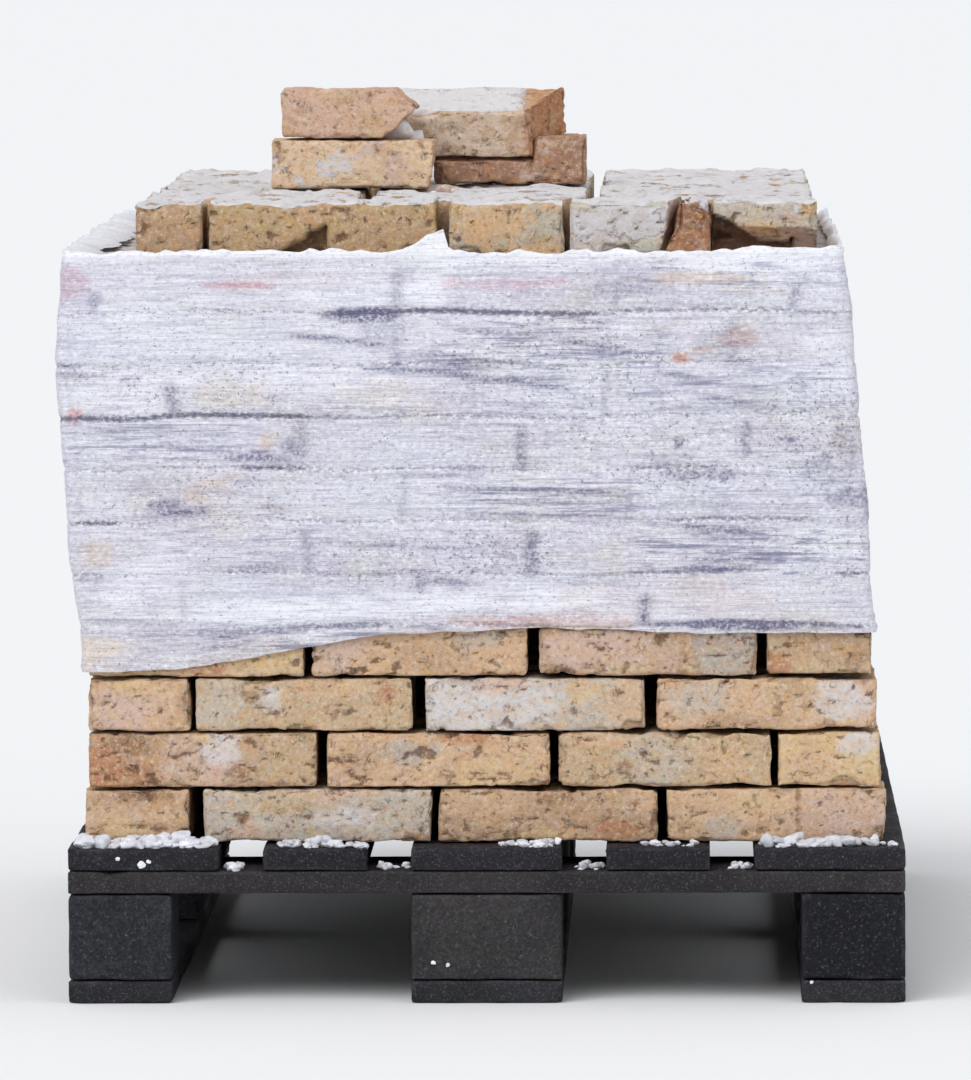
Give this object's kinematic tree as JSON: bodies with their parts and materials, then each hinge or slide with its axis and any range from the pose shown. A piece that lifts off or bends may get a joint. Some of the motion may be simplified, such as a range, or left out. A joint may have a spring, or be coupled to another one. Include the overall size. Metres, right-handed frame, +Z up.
{
  "type": "pallet of bricks",
  "caption": "Block pallet loaded with bonded courses of reclaimed bricks, wrapped in milky stretch film, with a part course and loose broken bricks on top.",
  "frame": {"origin": "on the floor, at the middle of the pallet's footprint", "axes": "+X along the 800 mm front that the picture shows, to the right; +Y into the 1200 mm depth; +Z up"},
  "size_m": [0.8042, 1.2, 0.8635],
  "materials": {
    "brick": "rough fired clay with old lime mortar",
    "pallet_board": "sawn softwood, weathered nearly black",
    "pallet_block": "pressed wood chips, weathered nearly black",
    "stretch_film": "milky, several layers, wrinkled"
  },
  "bodies": {
    "root": {"block_centre_left": "pallet_block", "block_centre_middle": "pallet_block", "block_centre_right": "pallet_block", "block_front_left": "pallet_block", "block_front_middle": "pallet_block", "block_front_right": "pallet_block", "block_rear_left": "pallet_block", "block_rear_middle": "pallet_block", "block_rear_right": "pallet_block", "bottom_board_left": "pallet_board", "bottom_board_middle": "pallet_board", "bottom_board_right": "pallet_board", "course_01": "brick", "course_02": "brick", "course_03": "brick", "course_04": "brick", "course_05": "brick", "course_06": "brick", "course_07": "brick", "course_08": "brick", "course_09": "brick", "course_10": "brick", "course_11": "brick", "deck_board_1": "pallet_board", "deck_board_2": "pallet_board", "deck_board_3": "pallet_board", "deck_board_4": "pallet_board", "deck_board_5": "pallet_board", "loose_brick_across": "brick", "loose_brick_left": "brick", "loose_brick_right": "brick", "loose_brick_upper": "brick", "stretch_film": "stretch_film", "stringer_centre": "pallet_board", "stringer_front": "pallet_board", "stringer_rear": "pallet_board", "top_course": "brick"}
  },
  "joints": []
}
